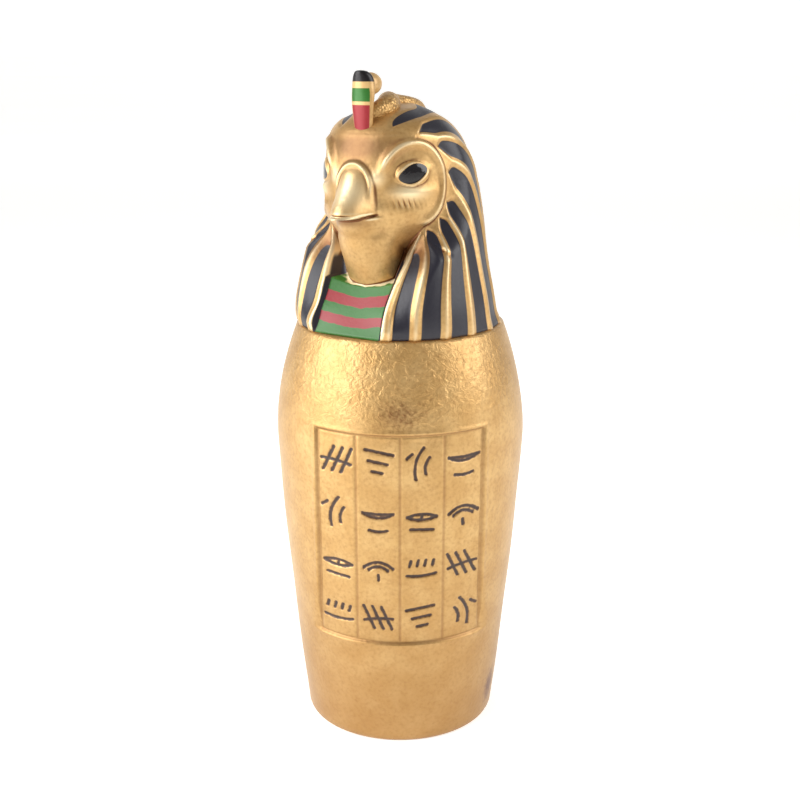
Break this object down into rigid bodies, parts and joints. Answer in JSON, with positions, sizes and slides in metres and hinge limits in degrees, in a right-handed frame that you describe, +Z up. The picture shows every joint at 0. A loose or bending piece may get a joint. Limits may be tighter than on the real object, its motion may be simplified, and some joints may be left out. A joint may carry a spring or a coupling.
{
  "type": "canopic jar",
  "caption": "Falcon-headed canopic jar: a hollow tapering vessel with a panel of strokes, closed by a lift-off lid carved as a falcon's head in a striped headcloth.",
  "frame": {"origin": "centre of the flat underside", "axes": "+Z up; the panel of strokes faces -Y, and the falcon's head on the lid is turned 32 degrees from -Y towards -X"},
  "size_m": [0.114, 0.1133, 0.3011],
  "materials": {
    "jar_gold_paint": "cast resin, satin gold paint with a brown wash in the hollows",
    "lid_gold_paint": "cast resin, satin gold paint with navy, green, red and black enamel"
  },
  "bodies": {
    "root": {"jar": "jar_gold_paint", "falcon_head_lid": "lid_gold_paint"}
  },
  "joints": []
}
